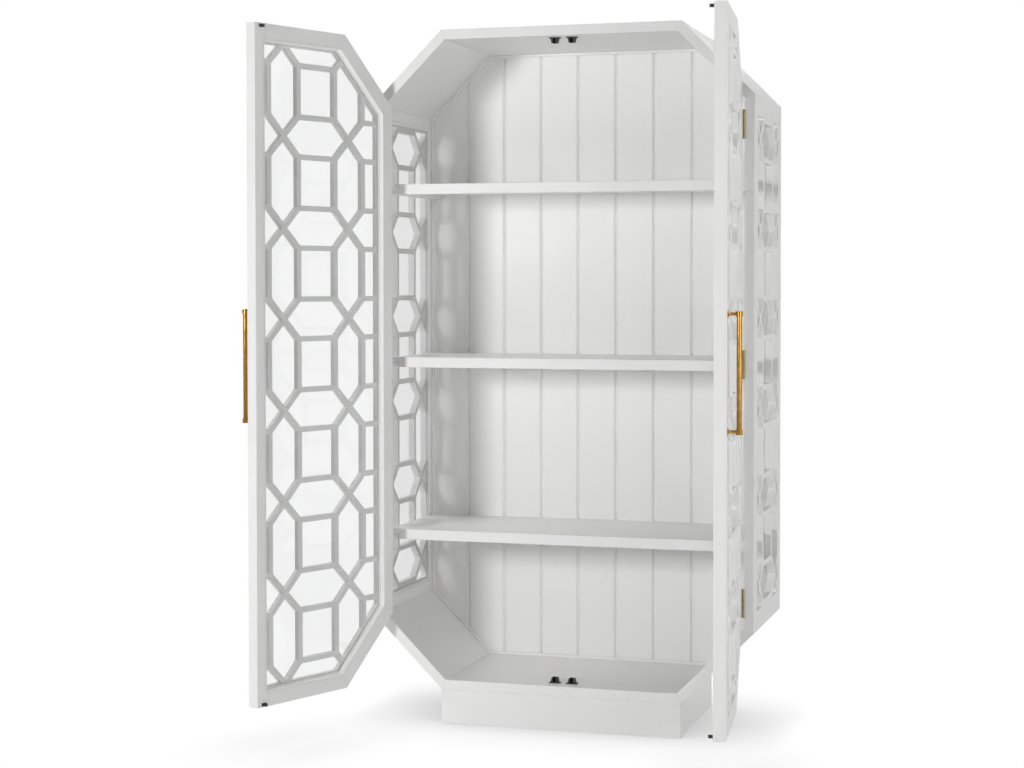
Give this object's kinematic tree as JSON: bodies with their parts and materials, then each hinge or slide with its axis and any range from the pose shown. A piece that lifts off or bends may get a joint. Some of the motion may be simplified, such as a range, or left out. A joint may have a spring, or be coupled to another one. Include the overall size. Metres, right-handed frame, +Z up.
{
  "type": "display cabinet",
  "caption": "Tall octagon-front display cabinet on a plinth, with shelves, glazed fretwork sides and a pair of hinged fretwork glass doors standing open.",
  "frame": {"origin": "centre of the plinth's footprint, on the floor", "axes": "+X to the cabinet's right seen from the front, +Y to its back, +Z up"},
  "size_m": [1.4721, 1.0337, 2.134],
  "materials": {
    "white_paint": "satin white paint",
    "glass": "clear",
    "hinge_brass": "antique brass",
    "handle_brass": "satin brass",
    "black_plastic": "matte black"
  },
  "bodies": {
    "carcass": {"back_beads": "white_paint", "back_boards": "white_paint", "bottom_panel": "white_paint", "catches": "black_plastic", "plinth_back": "white_paint", "plinth_brace": "white_paint", "plinth_front": "white_paint", "plinth_left": "white_paint", "plinth_right": "white_paint", "shelf_cleats": "white_paint", "shelf_lower": "white_paint", "shelf_middle": "white_paint", "shelf_nosings": "white_paint", "shelf_upper": "white_paint", "side_left_bottom_rail": "white_paint", "side_left_fret": "white_paint", "side_left_front_stile": "white_paint", "side_left_glass": "glass", "side_left_glass_stops": "white_paint", "side_left_hinge_leaves": "hinge_brass", "side_left_rear_stile": "white_paint", "side_left_top_rail": "white_paint", "side_right_bottom_rail": "white_paint", "side_right_fret": "white_paint", "side_right_front_stile": "white_paint", "side_right_glass": "glass", "side_right_glass_stops": "white_paint", "side_right_hinge_leaves": "hinge_brass", "side_right_rear_stile": "white_paint", "side_right_top_rail": "white_paint", "slope_lower_left": "white_paint", "slope_lower_right": "white_paint", "slope_upper_left": "white_paint", "slope_upper_right": "white_paint", "top_panel": "white_paint"},
    "left_door": {"door_left_bottom_rail": "white_paint", "door_left_fret": "white_paint", "door_left_glass": "glass", "door_left_glass_stops": "white_paint", "door_left_handle": "handle_brass", "door_left_hinge_leaves": "hinge_brass", "door_left_hinge_stile": "white_paint", "door_left_lock_stile": "white_paint", "door_left_lower_slope_rail": "white_paint", "door_left_strikes": "black_plastic", "door_left_top_rail": "white_paint", "door_left_upper_slope_rail": "white_paint"},
    "right_door": {"door_right_bottom_rail": "white_paint", "door_right_fret": "white_paint", "door_right_glass": "glass", "door_right_glass_stops": "white_paint", "door_right_handle": "handle_brass", "door_right_hinge_leaves": "hinge_brass", "door_right_hinge_stile": "white_paint", "door_right_lock_stile": "white_paint", "door_right_lower_slope_rail": "white_paint", "door_right_strikes": "black_plastic", "door_right_top_rail": "white_paint", "door_right_upper_slope_rail": "white_paint"}
  },
  "joints": [
    {"name": "left_door_hinge", "type": "hinge", "parent": "carcass", "child": "left_door", "pos_m": [-0.5655, -0.2364, 1.1195], "axis": [0, 0, -1], "range_deg": [-112.4, 62.6]},
    {"name": "right_door_hinge", "type": "hinge", "parent": "carcass", "child": "right_door", "pos_m": [0.5655, -0.2364, 1.1195], "axis": [0, 0, 1], "range_deg": [-96.6, 78.4]}
  ]
}
